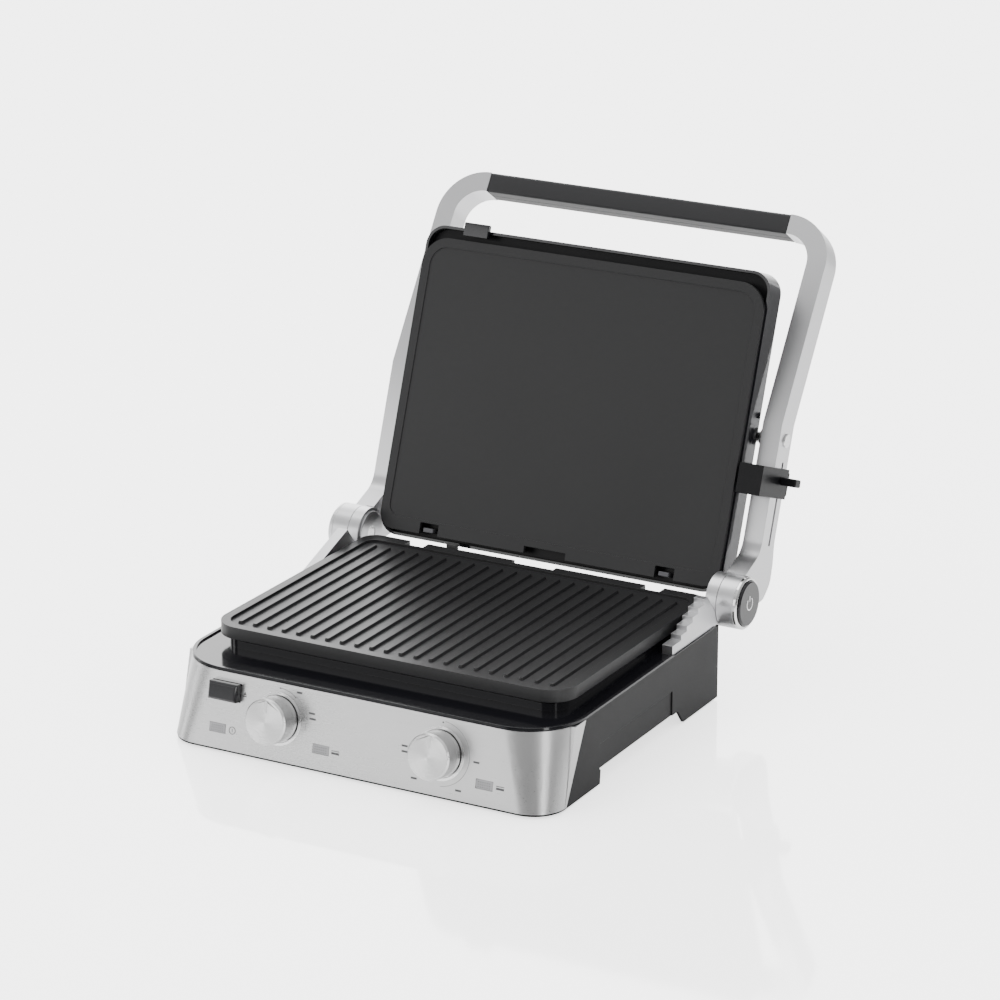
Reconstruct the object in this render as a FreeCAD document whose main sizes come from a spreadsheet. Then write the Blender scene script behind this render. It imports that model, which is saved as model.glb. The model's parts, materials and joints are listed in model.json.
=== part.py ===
import FreeCAD, Part
import math
import os
import re

import Sketcher
from FreeCAD import Placement, Rotation, Vector

# A contact grill: a steel-fronted base with a ribbed plate, and a lid with a flat plate that hangs
# in an aluminium frame.  The frame turns on two side hinges.  +X is to the user's right, -Y is the
# front and +Z is up.  The origin is on the table, under the middle of the grill with its lid open.

doc = FreeCAD.newDocument("panini_press")
sheet = doc.addObject("Spreadsheet::Sheet", "Sizes")

# Every size that can be set by itself, in millimetres or degrees.
SIZES = (
    ("base_width", 355.3, "width over the base sides"),
    ("base_depth", 299.1, "front lower edge to rear wall"),
    ("base_rear", 49.0, "place of the rear wall"),
    ("base_top", 66.5, "top of the base walls"),
    ("skirt_low", 2.0, "underside of the foot blocks"),
    ("recess_low", 15.0, "underside of the sides between the foot blocks"),
    ("front_block", 86.0, "length of the front foot block"),
    ("rear_block", 58.4, "length of the rear foot block"),
    ("wall", 2.5, "wall of the moulded shells"),
    ("lean", 11.0, "lean of the front panel, degrees"),
    ("corner_low", 28.0, "front corner radius at the bottom"),
    ("corner_high", 48.0, "front corner radius at the top"),
    ("steel", 0.9, "thickness of the steel front"),
    ("steel_low", 3.8, "lower edge of the steel front"),
    ("steel_side_low", 25.5, "rear edge of the steel at the bottom, from the front lower edge"),
    ("steel_side_high", 42.1, "rear edge of the steel at the top, from the front lower edge"),
    ("shadow_gap", 0.8, "gap between the steel and the deck lip"),
    ("deck_overhang", 1.3, "deck lip beyond the base wall"),
    ("deck_floor", 68.0, "top of the deck"),
    ("deck_lip", 69.5, "top of the lip round the deck"),
    ("lip_width", 3.0, "width of the deck lip"),
    ("platform_top", 74.5, "top of the raised platform under the plate"),
    ("well_width", 300.0, "width of the heating well"),
    ("well_depth", 200.0, "depth of the heating well"),
    ("well_end", 28.5, "from the hinge-end edge of a plate to the heating well"),
    ("hinge_y", 64.0, "hinge axis, from the origin"),
    ("hinge_z", 83.8, "hinge axis, above the table"),
    ("lid_lean", 20.0, "lean of the open lid behind the vertical, degrees"),
    ("barrel_radius", 22.5, "radius of the hinge barrels"),
    ("hub_width", 10.15, "width of the fixed hubs"),
    ("hub_gap", 0.35, "gap between a fixed hub and its barrel"),
    ("barrel_width", 15.0, "width of the turning barrels"),
    ("pin_radius", 6.0, "radius of the hinge pins"),
    ("running_gap", 0.05, "radial clearance of a running fit"),
    ("arm_overlap", 6.65, "how far the arms reach inside the base width"),
    ("arm_width", 17.6, "width of the lid arms"),
    ("arm_front", 27.5, "front edge of the arms behind the hinge axis"),
    ("arm_depth", 25.5, "depth of the lower arms"),
    ("kink_height", 151.5, "where the arms bend back"),
    ("kink", 13.75, "bend of the arms, degrees"),
    ("upper_depth", 24.5, "depth of the upper frame"),
    ("upper_length", 183.3, "length of the upper frame"),
    ("frame_corner", 42.0, "outer corner radius of the frame"),
    ("grip_setback", 1.1, "gap between the frame corners and the grip"),
    ("grip_core", 5.0, "sleeve wall over the core bar"),
    ("plate_width", 328.0, "width of both plates"),
    ("plate_depth", 257.0, "depth of both plates"),
    ("plate_corner", 24.0, "corner radius at the free end"),
    ("plate_hinge_corner", 14.0, "corner radius at the hinge end"),
    ("plate_rim", 8.0, "width of the rim round a plate"),
    ("plate_floor", 2.2, "depth of the plate floor below its rim"),
    ("upper_floor", 0.8, "depth of the upper plate's face below its rim"),
    ("plate_edge", 10.5, "height of the lower plate's edge"),
    ("upper_edge", 4.0, "height of the upper plate's edge"),
    ("plate_body", 10.5, "thickness of the plate castings"),
    ("plate_start", 7.0, "hinge-end edge of the plates, from the hinge axis"),
    ("upper_face", 5.6, "face of the upper plate, from the hinge axis"),
    ("lower_face", 2.6, "hinge-end face of the lower plate, above the hinge axis"),
    ("plate_slope", 0.5, "fall of the lower plate towards its spout, degrees"),
    ("rib_count", 22, "ribs on the lower plate"),
    ("rib_pitch", 13.77, "pitch of the ribs"),
    ("rib_width", 5.0, "width of a rib at its foot"),
    ("rib_height", 2.2, "height of a rib above the plate floor"),
    ("rib_front", 15.0, "front ends of the ribs from the edge"),
    ("rib_rear", 22.0, "rear ends of the ribs from the edge"),
    ("rib_draft", 20.0, "draft of the rib walls, degrees"),
    ("notch_place", 114.0, "middle of the catch notches"),
    ("notch_width", 18.0, "width of the catch notches"),
    ("notch_depth", 10.0, "depth of the catch notches"),
    ("spout_width", 40.0, "width of the drain spout"),
    ("spout_depth", 6.0, "depth of the drain spout"),
    ("housing_half", 165.5, "half width of the lid housing"),
    ("housing_low", 2.0, "hinge end of the lid housing"),
    ("housing_high", 274.8, "free end of the lid housing"),
    ("housing_front", 10.0, "front rim of the lid housing"),
    ("housing_waist", 33.0, "where the lid housing starts to taper"),
    ("housing_back", 43.5, "back of the lid housing"),
    ("housing_taper", 9.5, "taper of the housing sides"),
    ("housing_corner", 18.0, "corner radius of the lid housing"),
    ("cover_sheet", 1.5, "thickness of the lid cover"),
    ("tilt_u", 41.0, "lid pivot behind the hinge axis"),
    ("tilt_v", 138.5, "lid pivot from the hinge axis"),
    ("tilt_radius", 5.0, "radius of the lid pivots"),
    ("slider_low", 89.5, "lower end of the height slider"),
    ("slider_high", 115.0, "upper end of the height slider"),
    ("slider_gap", 0.3, "clearance of the slider on the arm"),
    ("slot_low", 49.0, "lower end of the slider slot"),
    ("slot_high", 120.0, "upper end of the slider slot"),
    ("stair_start", -37.0, "front of the stair bracket"),
    ("stair_first", 76.3, "lowest step"),
    ("stair_rise", 4.4, "rise of a step"),
    ("stair_pitch", 10.4, "going of a step"),
    ("bracket_width", 9.65, "width of the side brackets"),
    ("dial_row", 34.5, "middle of the dials up the panel"),
    ("left_dial_x", -72.0, "middle of the left dial"),
    ("right_dial_x", 78.0, "middle of the right dial"),
    ("dial_radius", 19.0, "radius of the dials"),
    ("dial_reach", 21.0, "how far the dials stand out"),
    ("dial_gap", 0.6, "gap between a dial and its ring"),
    ("ring_radius", 22.0, "radius of the trim rings"),
    ("shaft_radius", 3.0, "radius of the dial shafts"),
    ("button_x", -122.0, "middle of the plate button"),
    ("button_row", 48.5, "middle of the plate button up the panel"),
    ("button_width", 27.0, "width of the plate button"),
    ("button_height", 15.0, "height of the plate button"),
    ("button_reach", 8.0, "how far the plate button stands out"),
    ("button_gap", 0.35, "clearance round the plate button"),
    ("button_travel", 3.5, "travel of the plate button"),
    ("button_guide", 6.5, "length of the plate button that stays guided when it is released"),
    ("lamp_row", 16.8, "middle of the lamps up the panel"),
    ("lamp_width", 15.5, "width of a lamp lens"),
    ("lamp_height", 8.0, "height of a lamp lens"),
    ("element_radius", 3.3, "radius of the heating elements"),
    ("foot_radius", 9.0, "radius of the rubber feet"),
    ("foot_height", 3.0, "height of the rubber feet"),
    ("tray_width", 130.0, "width of the drip tray"),
    ("tray_reach", 62.0, "rear end of the drip tray"),
    ("tray_gap", 0.5, "clearance of the drip tray in its opening"),
)

for row, (alias, number, meaning) in enumerate(SIZES, 1):
    sheet.set("A%d" % row, meaning)
    sheet.set("B%d" % row, str(number))
    sheet.setAlias("B%d" % row, alias)
doc.recompute()

ALIASES = {alias for alias, *_ in SIZES}
NORMAL_SIGN = {"XY": 1, "YZ": 1, "XZ": -1}
TURNS = {"X": Rotation(Vector(0, 1, 0), 90), "Y": Rotation(Vector(-1, 0, 0), 90), "Z": Rotation()}
pieces = []

# Places that follow from the sizes.
DERIVED = {
    "hub_inner": "(base_width / 2 - hub_width)",
    "barrel_end": "(base_width / 2 + hub_gap + barrel_width)",
    "arm_inner": "(base_width / 2 - arm_overlap)",
    "well_middle": "(plate_start + well_end + well_depth / 2)",
    "grip_half": "(base_width / 2 - arm_overlap + arm_width - frame_corner - grip_setback)",
}


def in_sheet(rule):
    """Write out the derived places in a rule, and point every alias at the sheet that holds it."""
    full = re.sub(r"[a-z_]+", lambda word: DERIVED.get(word.group(), word.group()), str(rule))
    return re.sub(r"[a-z_]+", lambda word: "Sizes." + word.group() if word.group() in ALIASES
                  else word.group(), full)


def value(rule):
    return float(sheet.evalExpression(in_sheet(rule)))


def bind(thing, rules):
    for name, rule in rules.items():
        thing.setExpression(name, in_sheet(rule))


def new_body(label, at=("0", "0", "0"), turn="0", axis=Vector(1, 0, 0)):
    """A sub-part: its label names its file, and its placement is bound to the sheet."""
    body = doc.addObject("PartDesign::Body", label)
    body.Label = label
    body.AllowCompound = True
    body.Placement = Placement(Vector(), Rotation(axis, value(turn) or 0.0))
    bind(body, {"Placement.Base." + letter: rule for letter, rule in zip("xyz", at)})
    if turn != "0":
        bind(body, {"Placement.Rotation.Angle": turn})
    pieces.append(body)
    return body


def outline(body, plane, corners, level):
    """A closed outline on a plane of the body, with each corner sharp or rounded."""
    sketch = body.newObject("Sketcher::SketchObject", "Outline")
    origin_plane = next(o for o in body.Origin.OriginFeatures if o.Role == plane + "_Plane")
    sketch.AttachmentSupport = [(origin_plane, "")]
    sketch.MapMode = "FlatFace"
    bind(sketch, {"AttachmentOffset.Base.z": "%d * (%s)" % (NORMAL_SIGN[plane], level)})
    places = [Vector(value(x), value(y), 0) for x, y, _ in corners]
    count = len(corners)
    ends = []
    for index, (_, _, radius) in enumerate(corners):
        here = places[index]
        before = (places[index - 1] - here).normalize()
        after = (places[(index + 1) % count] - here).normalize()
        reach = 0.0 if radius is None else value(radius) / math.tan(before.getAngle(after) / 2)
        ends.append((here + before * reach, here + after * reach))
    for index in range(count):
        sketch.addGeometry(Part.LineSegment(ends[index][1], ends[(index + 1) % count][0]))
    for index, (across, along, radius) in enumerate(corners):
        line_in = (index - 1) % count
        line_out = index
        if radius is None:
            sketch.addConstraint(Sketcher.Constraint("Coincident", line_in, 2, line_out, 1))
            marked = (line_out, 1)
        else:
            turn = (places[index] - ends[index][0]).cross(ends[index][1] - places[index]).z
            starts, stops = ends[index] if turn > 0 else reversed(ends[index])
            arc = sketch.addGeometry(corner_arc(places[index], starts, stops, value(radius)))
            point = sketch.addGeometry(Part.Point(places[index]), True)
            first, last = (1, 2) if turn > 0 else (2, 1)
            sketch.addConstraint(Sketcher.Constraint("Tangent", line_in, 2, arc, first))
            sketch.addConstraint(Sketcher.Constraint("Tangent", arc, last, line_out, 1))
            for line in (line_in, line_out):
                sketch.addConstraint(Sketcher.Constraint("PointOnObject", point, 1, line))
            size = sketch.addConstraint(Sketcher.Constraint("Radius", arc, value(radius)))
            bind(sketch, {"Constraints[%d]" % size: radius})
            marked = (point, 1)
        for kind, rule, number in (("DistanceX", across, places[index].x),
                                   ("DistanceY", along, places[index].y)):
            made = sketch.addConstraint(Sketcher.Constraint(kind, -1, 1, *marked, number))
            bind(sketch, {"Constraints[%d]" % made: rule})
    sketch.Visibility = False
    return sketch


def corner_arc(corner, starts, stops, radius):
    """The arc of a rounded corner, anticlockwise between the points where it leaves the sides."""
    middle = (starts + stops) / 2 - corner
    centre = corner + middle.normalize() * math.hypot((starts - corner).Length, radius)
    angles = [math.atan2(point.y - centre.y, point.x - centre.x) for point in (starts, stops)]
    if angles[1] < angles[0]:
        angles[1] += 2 * math.pi
    return Part.ArcOfCircle(Part.Circle(centre, Vector(0, 0, 1), radius), *angles)


def settle(body, feature, cuts, before):
    """Finish a feature, and make sure that it changed the body in the right direction."""
    doc.recompute()
    change = body.Shape.Volume - before
    if "Invalid" in feature.State or "Error" in feature.State or (change < 0) != cuts:
        raise ValueError("%s: %s changed the volume by %.1f: %s"
                         % (body.Label, feature.Name, change, feature.getStatusString()))
    return feature


def volume(body):
    return 0.0 if body.Tip is None or body.Shape.isNull() else body.Shape.Volume


def pad(body, plane, corners, low, high, cuts=False):
    """Extrude an outline between two levels along the plane's own axis."""
    before = volume(body)
    level = high if NORMAL_SIGN[plane] < 0 else low
    sketch = outline(body, plane, corners, level)
    doc.recompute()
    feature = body.newObject("PartDesign::Pocket" if cuts else "PartDesign::Pad", "Feature")
    feature.Profile = sketch
    feature.Reversed = cuts
    bind(feature, {"Length": "(%s) - (%s)" % (high, low)})
    return settle(body, feature, cuts, before)


def pocket(body, plane, corners, low, high):
    return pad(body, plane, corners, low, high, True)


def loft(body, plane, corners, level, far_corners, far_level, cuts=False):
    """A ruled transition between two outlines of the same number of sides."""
    before = volume(body)
    sketches = [outline(body, plane, corners, level), outline(body, plane, far_corners, far_level)]
    doc.recompute()
    kind = "PartDesign::SubtractiveLoft" if cuts else "PartDesign::AdditiveLoft"
    feature = body.newObject(kind, "Loft")
    feature.Profile = sketches[0]
    feature.Sections = [sketches[1]]
    feature.Ruled = True
    return settle(body, feature, cuts, before)


def rod(body, axis, x, y, z, length, radius, cuts=False):
    """A round bar that starts at a point and runs along an axis."""
    before = volume(body)
    kind = "PartDesign::SubtractiveCylinder" if cuts else "PartDesign::AdditiveCylinder"
    feature = body.newObject(kind, "Rod")
    feature.Placement = Placement(Vector(), TURNS[axis])
    bind(feature, {"Radius": radius, "Height": length, "Placement.Base.x": x,
                   "Placement.Base.y": y, "Placement.Base.z": z})
    return settle(body, feature, cuts, before)


def block(body, x, y, z, cuts=False):
    """A rectangular block between two values on each axis."""
    before = volume(body)
    kind = "PartDesign::SubtractiveBox" if cuts else "PartDesign::AdditiveBox"
    feature = body.newObject(kind, "Block")
    rules = {}
    for letter, size, (low, high) in zip("xyz", ("Length", "Width", "Height"), (x, y, z)):
        rules["Placement.Base." + letter] = low
        rules[size] = "(%s) - (%s)" % (high, low)
    bind(feature, rules)
    return settle(body, feature, cuts, before)


def soften(body, radius, chosen, kind="PartDesign::Fillet"):
    """Round (or chamfer) the edges of the body that a test picks."""
    base = body.Tip
    names = ["Edge%d" % number for number, edge in enumerate(base.Shape.Edges, 1) if chosen(edge)]
    feature = body.newObject(kind, "Softening")
    feature.Base = (base, names)
    bind(feature, {"Size" if kind.endswith("Chamfer") else "Radius": radius})
    doc.recompute()
    if not names or "Invalid" in feature.State:
        raise ValueError(body.Label + ": no edge could be softened")
    return feature


def box_outline(left, right, low, high, low_corner=None, high_corner=None):
    return [(left, low, low_corner), (right, low, low_corner),
            (right, high, high_corner), (left, high, high_corner)]


def sided(side, inner, outer):
    """Two distances from the middle plane as a low and high pair on one side of it."""
    return (inner, outer) if side > 0 else ("-(%s)" % outer, "-(%s)" % inner)


def base_outline(level, inset, corner, rear="base_rear"):
    """The plan of the base at one height: the front leans back, the rest is upright."""
    half = "base_width / 2 - (%s)" % inset
    front = "base_rear - base_depth + ((%s) - steel_low) * tan(lean) + (%s)" % (level, inset)
    return box_outline("-(%s)" % half, half, front, rear, corner, None)


def base_solid(body, low, high, inset, rear="base_rear", cuts=False, high_rear=None):
    """The leaning, round-cornered block that the base parts are cut from."""
    corner = "corner_low + (corner_high - corner_low) * ((%s) - steel_low) / (base_top - steel_low)"
    loft(body, "XY",
         base_outline(low, inset, "max(3; %s - (%s))" % (corner % low, inset), rear), low,
         base_outline(high, inset, "max(3; %s - (%s))" % (corner % high, inset), high_rear or rear),
         high, cuts)


# The panel frame: local Z points out of the leaning front, local Y runs up it.

def on_panel(x, row):
    """Place and turn of a piece that sits on the leaning front panel."""
    front = "base_rear - base_depth + (%s) * sin(lean) - steel * cos(lean)" % row
    height = "steel_low + (%s) * cos(lean) + steel * sin(lean)" % row
    return {"at": (x, front, height), "turn": "90 - lean"}


LID = {"at": ("0", "hinge_y", "hinge_z"), "turn": "lid_lean", "axis": Vector(-1, 0, 0)}
LAMPS = ("-127.6", "-30.2", "119.2")
FEET = [(x, y) for x in ("-base_width / 2 + 22", "base_width / 2 - 22")
        for y in ("base_rear - base_depth + 50", "base_rear - 22")]
BOTTOM_SCREWS = [(x, y) for x in ("-110", "110") for y in ("base_rear - 250", "base_rear - 14")]
DIALS = (("left", "left_dial_x"), ("right", "right_dial_x"))


def cut_panel(body):
    """Openings in the front for the dials, the plate button and the lamps."""
    for hole, row, across, up in (
            ("button_x", "button_row", "button_width / 2 + button_gap", "button_height / 2 + button_gap"),
            *((lamp, "lamp_row", "lamp_width / 2", "lamp_height / 2") for lamp in LAMPS)):
        panel_block(body, hole, row, across, up, "-6", "4", True)
    for _, place in DIALS:
        before = volume(body)
        feature = body.newObject("PartDesign::SubtractiveCylinder", "Hole")
        seat_on_panel(feature, place, "dial_row", "0", "0", "-6")
        bind(feature, {"Radius": "shaft_radius + 4 * running_gap", "Height": "10"})
        settle(body, feature, True, before)


def seat_on_panel(feature, x, row, across, up, out):
    """Put a feature of a base part square to the leaning panel."""
    frame = on_panel(x, row)["at"]
    feature.Placement = Placement(Vector(), Rotation(Vector(1, 0, 0), value("90 - lean")))
    bind(feature, {
        "Placement.Rotation.Angle": "90 - lean",
        "Placement.Base.x": "(%s) + (%s)" % (frame[0], across),
        "Placement.Base.y": "(%s) + (%s) * sin(lean) - (%s) * cos(lean)" % (frame[1], up, out),
        "Placement.Base.z": "(%s) + (%s) * cos(lean) + (%s) * sin(lean)" % (frame[2], up, out)})


def panel_block(body, x, row, across, up, low, high, cuts=False):
    before = volume(body)
    kind = "PartDesign::SubtractiveBox" if cuts else "PartDesign::AdditiveBox"
    feature = body.newObject(kind, "PanelBlock")
    seat_on_panel(feature, x, row, "-(%s)" % across, "-(%s)" % up, low)
    bind(feature, {"Length": "2 * (%s)" % across, "Width": "2 * (%s)" % up,
                   "Height": "(%s) - (%s)" % (high, low)})
    settle(body, feature, cuts, before)


# ---- base ----

def base_shell():
    body = new_body("base_shell")
    base_solid(body, "skirt_low", "base_top", "0")
    base_solid(body, "skirt_low - 1", "base_top - wall", "wall", "base_rear - wall", True)
    front = "base_rear - base_depth"
    side_recess = [("%s + front_block" % front, "-5", None), ("base_rear - rear_block", "-5", None),
                   ("base_rear - rear_block - 16", "recess_low", None),
                   ("%s + front_block + 2" % front, "recess_low", None)]
    pocket(body, "YZ", side_recess, "-base_width", "base_width")
    for side in (-1, 1):
        block(body, sided(side, "base_width / 2 - 1", "base_width / 2 + 1"),
              ("%s + front_block" % front, "base_rear - 85"), ("recess_low - 1", "36.5"), True)
    pocket(body, "XY", well_outline("2"), "base_top - wall - 2", "base_top + 1")
    block(body, ("-tray_width / 2 - tray_gap", "tray_width / 2 + tray_gap"),
          ("base_rear - 2 * wall", "base_rear + 1"), ("18.2", "33.2 + tray_gap"), True)
    rod(body, "Y", "115", "base_rear - wall - 1", "46", "wall + 2", "9", True)
    cut_panel(body)
    return body


def well_outline(grow):
    half = "well_width / 2 + (%s)" % grow
    middle = "hinge_y - well_middle"
    return box_outline("-(%s)" % half, half, "%s - well_depth / 2 - (%s)" % (middle, grow),
                       "%s + well_depth / 2 + (%s)" % (middle, grow), "12", "12")


def bottom_cover():
    body = new_body("bottom_cover")
    base_solid(body, "recess_low + 0.5", "recess_low + 3", "wall + 0.3", "base_rear - wall - 0.3")
    for x, y in FEET:
        rod(body, "Z", x, y, "foot_height", "recess_low + 1 - foot_height", "foot_radius + 3")
        rod(body, "Z", x, y, "foot_height - 1", "6", "3", True)
    return body


def feet():
    body = new_body("rubber_feet")
    for x, y in FEET:
        rod(body, "Z", x, y, "0", "foot_height", "foot_radius")
        rod(body, "Z", x, y, "foot_height", "4.5", "3")
    return body


def deck_tray():
    body = new_body("deck_tray")
    overhang = "-deck_overhang"
    base_solid(body, "base_top + shadow_gap", "deck_lip", overhang, "base_rear + deck_overhang")
    base_solid(body, "deck_floor", "deck_lip + 1", "lip_width - deck_overhang",
               "base_rear - lip_width + deck_overhang", True)
    base_solid(body, "base_top", "deck_floor", "3", "base_rear - 3")
    middle = "hinge_y - plate_start - plate_depth / 2"
    pad(body, "XY", box_outline("-plate_width / 2 + 7", "plate_width / 2 - 7",
                                "%s - plate_depth / 2 + 7" % middle, "base_rear - lip_width - 1",
                                "plate_corner - 6", "4"),
        "deck_floor - 0.5", "platform_top")
    pocket(body, "XY", well_outline("0"), "base_top - 1", "platform_top + 1")
    block(body, ("-spout_width / 2 - 4", "spout_width / 2 + 4"), ("base_rear - 11", "base_rear + 3"),
          ("deck_floor", "platform_top + 1"), True)
    for side in (-1, 1):
        low, high = sided(side, "base_width / 2 - bracket_width - 0.3", "base_width / 2 + 3")
        block(body, (low, high), ("stair_start - 0.3", "base_rear + 3"),
              ("deck_floor", "platform_top + 1"), True)
        block(body, (low, high), ("hinge_y - barrel_radius - 0.3", "base_rear + 3"),
              ("base_top - 1", "deck_lip"), True)
    return body


def front_panel():
    body = new_body("front_panel")
    low_rear = "base_rear - base_depth + steel_side_low"
    high_rear = "base_rear - base_depth + steel_side_high"
    base_solid(body, "steel_low", "base_top", "-steel", low_rear, False, high_rear)
    base_solid(body, "steel_low - 1", "base_top + 1", "0", low_rear + " + 40", True,
               high_rear + " + 40")
    cut_panel(body)
    return body


def dial_rings():
    body = new_body("dial_rings")
    for _, place in DIALS:
        for radius, low, high, cuts in (("ring_radius", "0", "1.2", False),
                                        ("ring_radius - 2.4", "0.5", "2", True),
                                        ("shaft_radius + 4 * running_gap", "-1", "2", True)):
            before = volume(body)
            kind = "PartDesign::SubtractiveCylinder" if cuts else "PartDesign::AdditiveCylinder"
            feature = body.newObject(kind, "Ring")
            seat_on_panel(feature, place, "dial_row", "0", "0", low)
            bind(feature, {"Radius": radius, "Height": "(%s) - (%s)" % (high, low)})
            settle(body, feature, cuts, before)
    return body


def lamps():
    lenses = new_body("lamp_lenses")
    for lamp in LAMPS:
        panel_block(lenses, lamp, "lamp_row", "lamp_width / 2", "lamp_height / 2", "-2.6", "0.5")
    lights = new_body("lamp_lights")
    for lamp in LAMPS:
        panel_block(lights, lamp, "lamp_row + 1.5", "lamp_width / 2 - 2", "1.5", "-6", "-4")
    return lenses


def dials():
    for name, place in DIALS:
        knob = new_body(name + "_dial", **on_panel(place, "dial_row"))
        rod(knob, "Z", "0", "0", "dial_gap + 1.2", "dial_reach - dial_gap - 1.2", "dial_radius")
        rod(knob, "Z", "0", "0", "0", "12", "shaft_radius", True)
        soften(knob, "1.4", lambda edge: on_rim(edge, "dial_radius", "dial_reach"),
               "PartDesign::Chamfer")
        block(knob, ("-1.1", "1.1"), ("dial_radius * 0.42", "dial_radius - 1.5"),
              ("dial_reach - 0.5", "dial_reach + 1"), True)
        shaft = new_body(name + "_dial_shaft", **on_panel(place, "dial_row"))
        rod(shaft, "Z", "0", "0", "-16", "28", "shaft_radius")
        pointer = new_body(name + "_dial_pointer", **on_panel(place, "dial_row"))
        block(pointer, ("-1.1", "1.1"), ("dial_radius * 0.42", "dial_radius - 1.5"),
              ("dial_reach - 0.5", "dial_reach + 0.1"))
        switch = new_body(name + "_thermostat", **on_panel(place, "dial_row"))
        block(switch, ("-15", "15"), ("-12", "12"), ("-26", "-8"))
        rod(switch, "Z", "0", "0", "-8", "4", "5")
        rod(switch, "Z", "0", "0", "-20", "20", "shaft_radius + running_gap", True)


def on_rim(edge, radius, level):
    """True for the circle of a given radius at a given height in the body's own frame."""
    curve = edge.Curve
    round_edge = isinstance(curve, Part.Circle) and abs(curve.Radius - value(radius)) < 0.01
    return round_edge and abs(edge.BoundBox.Center.z - value(level)) < 0.01


def plate_button():
    body = new_body("plate_button", **on_panel("button_x", "button_row"))
    block(body, ("-button_width / 2", "button_width / 2"), ("-button_height / 2", "button_height / 2"),
          ("-button_travel - button_guide", "button_reach"))
    soften(body, "1.6", lambda edge: all(v.Z > value("button_reach") - 0.01 for v in edge.Vertexes),
           "PartDesign::Chamfer")
    latch = new_body("plate_latch", at=("button_x", "base_rear - base_depth + 40", "platform_top - 32"))
    block(latch, ("-6", "6"), ("0", "14"), ("0", "20"))
    block(latch, ("-6", "1"), ("0", "14"), ("8", "21"), True)


def side_brackets():
    """The stepped bracket on the right, the plain one on the left, and the pins they hold."""
    steps = []
    for step in range(6):
        reach = "stair_start + 15.7 + %d * stair_pitch" % step
        rise = "stair_first + %d * stair_rise" % step
        start = "stair_start" if step == 0 else "stair_start + 15.7 + %d * stair_pitch" % (step - 1)
        steps += [(start, rise, None), (reach, rise, None)]
    last = "stair_first + 5 * stair_rise"
    steps[-1] = ("stair_start + 15.7 + 4 * stair_pitch + 6.7", last, None)
    plain = [("stair_start", "stair_first", None), (steps[-1][0], last, None)]
    for label, side, top in (("stair_bracket", 1, steps), ("hinge_bracket", -1, plain)):
        body = new_body(label)
        low, high = sided(side, "base_width / 2 - bracket_width", "base_width / 2")
        foot = [("base_rear - 2", "deck_floor", None), ("stair_start", "deck_floor", None)]
        pad(body, "YZ", foot + top + [("hinge_y - 22", "hinge_z - 4", None)], low, high)
        low, high = sided(side, "hub_inner", "base_width / 2")
        rod(body, "X", low, "hinge_y", "hinge_z", "base_width / 2 - hub_inner", "barrel_radius")
        rod(body, "X", low + " - 1", "hinge_y", "hinge_z", "base_width / 2 - hub_inner + 2",
            "pin_radius", True)
    pins = new_body("hinge_pins")
    for side in (-1, 1):
        low, high = sided(side, "hub_inner - 1", "base_width / 2 + 8")
        rod(pins, "X", low, "hinge_y", "hinge_z", "base_width / 2 + 9 - hub_inner", "pin_radius")
    covers = new_body("hub_covers")
    for side in (-1, 1):
        low, high = sided(side, "hub_inner - 1.6", "hub_inner")
        rod(covers, "X", low, "hinge_y", "hinge_z", "1.6", "barrel_radius - 3")
        rod(covers, "X", low + " - 1", "hinge_y", "hinge_z", "3.6", "pin_radius", True)


def heater(label, turned, level, feet_reach, **frame):
    """A round-section heating element bent into a closed loop, with two feet."""
    body = new_body(label, **frame)
    middle = "-well_middle" if turned else "well_middle"
    plane = "XY" if turned else "XZ"
    half = "well_width / 2 - 24"
    reach = "well_depth / 2 - 24"
    path = outline(body, plane, box_outline("-(%s)" % half, half, "%s - (%s)" % (middle, reach),
                                            "%s + (%s)" % (middle, reach), "30", "30"), level)
    section = body.newObject("Sketcher::SketchObject", "Section")
    side = next(o for o in body.Origin.OriginFeatures if o.Role == "YZ_Plane")
    section.AttachmentSupport = [(side, "")]
    section.MapMode = "FlatFace"
    start = "%s - (%s)" % (middle, reach)
    across, up = (start, level) if turned else (level, start)
    circle = section.addGeometry(Part.Circle(Vector(value(across), value(up), 0), Vector(0, 0, 1),
                                             value("element_radius")))
    for kind, rule in (("DistanceX", across), ("DistanceY", up)):
        made = section.addConstraint(Sketcher.Constraint(kind, -1, 1, circle, 3, value(rule)))
        bind(section, {"Constraints[%d]" % made: rule})
    made = section.addConstraint(Sketcher.Constraint("Radius", circle, value("element_radius")))
    bind(section, {"Constraints[%d]" % made: "element_radius"})
    doc.recompute()
    pipe = body.newObject("PartDesign::AdditivePipe", "Loop")
    pipe.Profile = section
    pipe.Spine = (path, ["Edge%d" % number for number in range(1, len(path.Shape.Edges) + 1)])
    settle(body, pipe, False, 0.0)
    for foot in ("-40", "40"):
        if turned:
            rod(body, "Z", foot, start, "(%s) - (%s)" % (level, feet_reach), feet_reach, "2.4")
        else:
            rod(body, "Y", foot, level, start, feet_reach, "2.4")
    return body


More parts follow.
